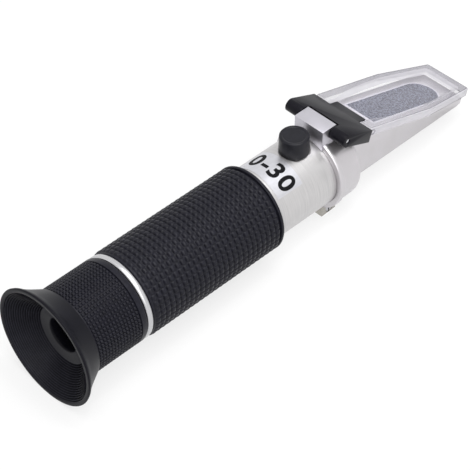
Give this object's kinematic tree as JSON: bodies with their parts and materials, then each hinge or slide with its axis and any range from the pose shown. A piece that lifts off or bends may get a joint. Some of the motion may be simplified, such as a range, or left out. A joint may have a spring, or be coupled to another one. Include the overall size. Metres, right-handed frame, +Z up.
{
  "type": "handheld brix refractometer",
  "caption": "Handheld optical refractometer: focusing eyepiece with eyecup, gripped tube, calibration screw under a cap, and a sloping prism under a hinged clear daylight plate.",
  "frame": {"origin": "centre of the bounding box, on the optical axis", "axes": "+X along the optical axis from the eyecup to the prism tip, +Z up through the calibration cap and the hinge, +Y to the left of someone looking in"},
  "size_m": [0.1746, 0.039, 0.039],
  "materials": {
    "grip_rubber": "fine square knurl, matte",
    "cup_rubber": "smooth matte",
    "black_plastic": "semi-gloss moulded",
    "black_anodised": "black anodised",
    "satin_metal": "satin",
    "polished_metal": "bright",
    "steel": "bright turned",
    "brass": "turned",
    "lens_glass": "polished",
    "prism_glass": "ground face",
    "clear_acrylic": "clear moulded acrylic"
  },
  "bodies": {
    "barrel": {"main_tube": "satin_metal", "collar_ring": "polished_metal", "grip_sleeve": "grip_rubber", "reticle_cell": "black_anodised", "reticle": "lens_glass", "reticle_retainer": "black_anodised", "light_baffle": "black_anodised", "strip_block": "brass", "strip_screw_1": "steel", "strip_screw_2": "steel", "screw_bush": "brass", "prism_housing": "satin_metal", "prism": "prism_glass", "clamp_screw": "steel", "clamp_nut": "steel", "hinge_pin": "steel"},
    "eyepiece": {"eyepiece_cell": "black_anodised", "eyepiece_retainer": "black_anodised", "eye_lens": "lens_glass", "lens_spacer": "black_anodised", "field_lens": "lens_glass"},
    "focus_ring": {"focus_core": "black_anodised", "focus_sleeve": "grip_rubber", "eyecup": "cup_rubber"},
    "objective": {"bimetal_strip": "brass", "objective_mount": "black_anodised", "objective_crown": "lens_glass", "objective_flint": "lens_glass", "objective_retainer": "black_anodised"},
    "adjuster": {"calibration_screw": "brass"},
    "cap": {"calibration_cap": "cup_rubber"},
    "cover": {"hinge_frame": "black_plastic", "daylight_plate": "clear_acrylic"}
  },
  "joints": [
    {"name": "cover_hinge", "type": "hinge", "parent": "barrel", "child": "cover", "pos_m": [0.02485, 0, 0.01635], "axis": [0, -1, 0], "range_deg": [0, 90]},
    {"name": "eyepiece_travel", "type": "slide", "parent": "barrel", "child": "eyepiece", "axis": [-1, 0, 0], "range_m": [0, 0.0024]},
    {"name": "focus_turn", "type": "hinge", "parent": "eyepiece", "child": "focus_ring", "pos_m": [-0.07, 0, 0], "axis": [-1, 0, 0], "range_deg": [0, 360]},
    {"name": "cap_pull", "type": "slide", "parent": "barrel", "child": "cap", "axis": [0, 0, 1], "range_m": [0, 0.012]},
    {"name": "calibration_turn", "type": "hinge", "parent": "barrel", "child": "adjuster", "pos_m": [0.01405, 0, 0.012], "axis": [0, 0, 1], "range_deg": [-180, 180]},
    {"name": "objective_tilt", "type": "hinge", "parent": "barrel", "child": "objective", "pos_m": [-0.00535, 0, -0.00895], "axis": [0, -1, 0], "range_deg": [-0.75, 0.75]}
  ],
  "couplings": [
    {"joint": "focus_turn", "follows": "eyepiece_travel", "rad_per_m": 2617.9},
    {"joint": "calibration_turn", "follows": "objective_tilt", "ratio": 239}
  ]
}
